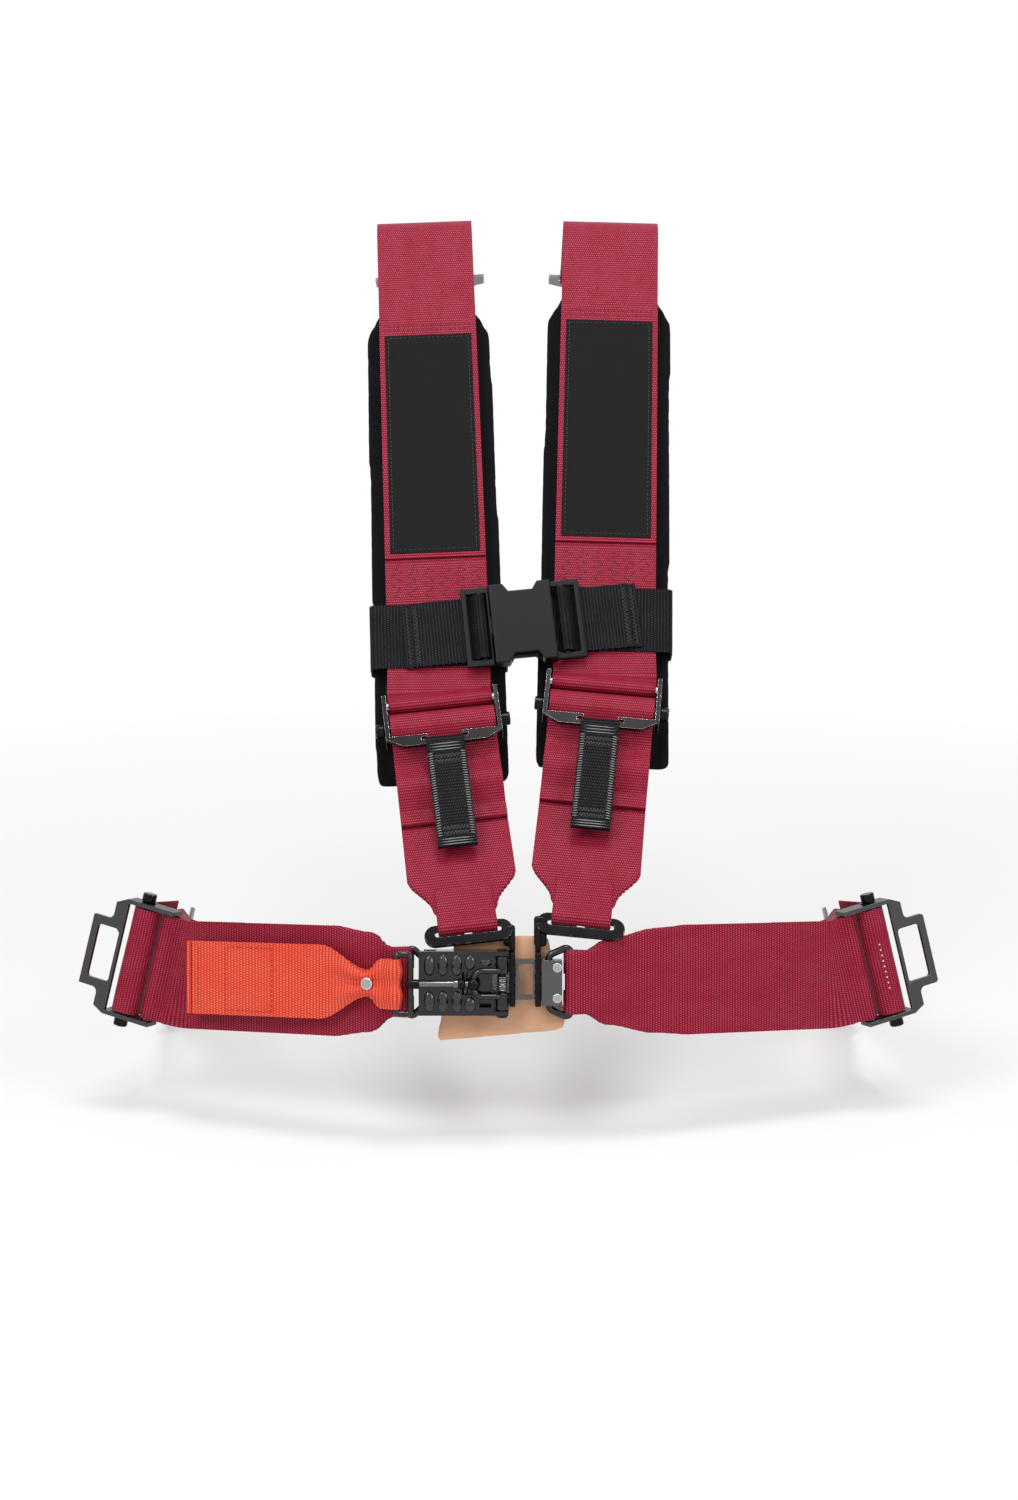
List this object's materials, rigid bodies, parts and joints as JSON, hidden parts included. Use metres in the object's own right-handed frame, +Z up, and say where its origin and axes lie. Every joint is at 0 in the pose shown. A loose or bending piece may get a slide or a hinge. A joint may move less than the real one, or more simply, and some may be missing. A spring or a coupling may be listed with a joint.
{
  "type": "racing harness",
  "caption": "Four-point racing harness with padded shoulder belts, a latch-and-link buckle, three-bar adjusters, a sternum clip and bolt-in anchor plates.",
  "frame": {"origin": "middle of the link's tongue, where the shoulder hooks slip on", "axes": "+X to the right as seen from in front of the seat, +Y back towards the seat, +Z up"},
  "size_m": [0.6202, 0.5977, 0.6385],
  "materials": {
    "crimson_webbing": "woven",
    "orange_webbing": "woven",
    "black_webbing": "woven",
    "blank_patch": "woven",
    "pad_cloth": "matte",
    "tan_suede": "napped",
    "black_plastic": "gloss",
    "dark_chrome": "polished",
    "zinc_steel": "plated",
    "black_steel": "gloss"
  },
  "bodies": {
    "root": {"buckle_pad": "tan_suede", "latch_base": "black_steel", "latch_cover": "black_steel", "latch_ring": "dark_chrome", "latch_rivets": "dark_chrome", "left_anchor_strap": "crimson_webbing", "left_hook": "black_steel", "left_lap_adjuster": "black_steel", "left_lap_strap": "crimson_webbing", "left_lower_strap": "crimson_webbing", "left_pad_label": "blank_patch", "left_pad_loop": "black_webbing", "left_pad_sleeve": "crimson_webbing", "left_shoulder_adjuster": "black_steel", "left_shoulder_pad": "pad_cloth", "left_shoulder_strap": "crimson_webbing", "lever_pin": "dark_chrome", "lever_spring": "dark_chrome", "pawl_pin": "dark_chrome", "right_hook": "black_steel", "right_lower_strap": "crimson_webbing", "right_pad_label": "blank_patch", "right_pad_loop": "black_webbing", "right_pad_sleeve": "crimson_webbing", "right_shoulder_adjuster": "black_steel", "right_shoulder_pad": "pad_cloth", "right_shoulder_strap": "crimson_webbing", "right_sternum_web": "black_webbing", "sternum_female": "black_plastic"},
    "left_shoulder_slide": {"left_shoulder_slide_bar": "dark_chrome"},
    "left_lap_slide": {"left_lap_slide_bar": "dark_chrome"},
    "left_tab": {"left_pull_tab": "black_webbing"},
    "left_shoulder_plate": {"left_shoulder_anchor": "zinc_steel"},
    "left_lap_plate": {"left_lap_anchor": "zinc_steel"},
    "right_shoulder_slide": {"right_shoulder_slide_bar": "dark_chrome"},
    "right_lap_slide": {"right_lap_slide_bar": "dark_chrome"},
    "right_tab": {"right_pull_tab": "black_webbing"},
    "right_shoulder_plate": {"right_shoulder_anchor": "zinc_steel"},
    "right_lap_plate": {"right_lap_anchor": "zinc_steel"},
    "lever": {"latch_lever": "black_steel"},
    "pawl": {"latch_pawl": "black_steel"},
    "release": {"release_rod": "dark_chrome", "release_strap": "orange_webbing", "release_bolt": "dark_chrome", "release_nut": "dark_chrome"},
    "link_side": {"link_plate": "black_steel", "link_rivets": "dark_chrome", "link_ring": "dark_chrome", "right_lap_strap": "crimson_webbing", "right_lap_adjuster": "black_steel", "right_anchor_strap": "crimson_webbing"},
    "sternum_catch": {"sternum_male": "black_plastic", "left_sternum_web": "black_webbing"},
    "upper_catch": {"upper_prong": "black_plastic"},
    "lower_catch": {"lower_prong": "black_plastic"}
  },
  "joints": [
    {"name": "left_shoulder_slide", "type": "slide", "parent": "root", "child": "left_shoulder_slide", "axis": [-0.1215, 0.6502, 0.75], "range_m": [0, 0.003]},
    {"name": "left_lap_slide", "type": "slide", "parent": "root", "child": "left_lap_slide", "axis": [0.9331, -0.3073, -0.1869], "range_m": [0, 0.003]},
    {"name": "left_tab_lift", "type": "hinge", "parent": "root", "child": "left_tab", "pos_m": [-0.0528, 0.09982, 0.14648], "axis": [-0.9926, -0.0796, -0.0918], "range_deg": [0, 100]},
    {"name": "left_shoulder_plate_turn", "type": "hinge", "parent": "root", "child": "left_shoulder_plate", "pos_m": [-0.07755, 0.52029, 0.47996], "axis": [0.9991, 0.0226, 0.037], "range_deg": [-15, 15]},
    {"name": "left_lap_plate_turn", "type": "hinge", "parent": "root", "child": "left_lap_plate", "pos_m": [-0.27355, 0.23159, -0.06617], "axis": [-0.2161, -0.3582, -0.9083], "range_deg": [-15, 15]},
    {"name": "right_shoulder_slide", "type": "slide", "parent": "root", "child": "right_shoulder_slide", "axis": [0.1055, 0.6522, 0.7507], "range_m": [0, 0.003]},
    {"name": "right_lap_slide", "type": "slide", "parent": "link_side", "child": "right_lap_slide", "axis": [-0.9331, -0.3073, -0.1869], "range_m": [0, 0.003]},
    {"name": "right_tab_lift", "type": "hinge", "parent": "root", "child": "right_tab", "pos_m": [0.05888, 0.10648, 0.15726], "axis": [-0.9944, 0.0692, 0.0796], "range_deg": [0, 100]},
    {"name": "right_shoulder_plate_turn", "type": "hinge", "parent": "root", "child": "right_shoulder_plate", "pos_m": [0.07675, 0.52027, 0.47986], "axis": [0.9995, -0.016, -0.0263], "range_deg": [-15, 15]},
    {"name": "right_lap_plate_turn", "type": "hinge", "parent": "link_side", "child": "right_lap_plate", "pos_m": [0.25915, 0.23159, -0.06617], "axis": [-0.2161, 0.3582, 0.9083], "range_deg": [-15, 15]},
    {"name": "lever_lift", "type": "hinge", "parent": "root", "child": "lever", "pos_m": [-0.0115, -0.00687, -0.00058], "axis": [0, 0.2079, 0.9781], "range_deg": [0, 100]},
    {"name": "pawl_lift", "type": "hinge", "parent": "root", "child": "pawl", "pos_m": [-0.037, -0.00413, -0.00117], "axis": [0, -0.2079, -0.9781], "range_deg": [0, 3]},
    {"name": "release_swing", "type": "hinge", "parent": "lever", "child": "release", "pos_m": [-0.031, -0.01157, 0.00041], "axis": [0, 0.2079, 0.9781], "range_deg": [0, 70]},
    {"name": "link_pull", "type": "slide", "parent": "root", "child": "link_side", "axis": [1, 0, 0], "range_m": [0, 0.06]},
    {"name": "sternum_pull", "type": "slide", "parent": "root", "child": "sternum_catch", "axis": [-0.9948, -0.054, -0.0869], "range_m": [0, 0.035]},
    {"name": "upper_catch_squeeze", "type": "hinge", "parent": "sternum_catch", "child": "upper_catch", "pos_m": [-0.01831, 0.1719, 0.2408], "axis": [-0.0008, 0.8536, -0.521], "range_deg": [0, 6], "stiffness_Nm_per_rad": 0.3},
    {"name": "lower_catch_squeeze", "type": "hinge", "parent": "sternum_catch", "child": "lower_catch", "pos_m": [-0.0135, 0.14755, 0.20089], "axis": [0.0008, -0.8536, 0.521], "range_deg": [0, 6], "stiffness_Nm_per_rad": 0.3}
  ],
  "couplings": [
    {"joint": "pawl_lift", "follows": "lever_lift", "ratio": 0.03}
  ]
}
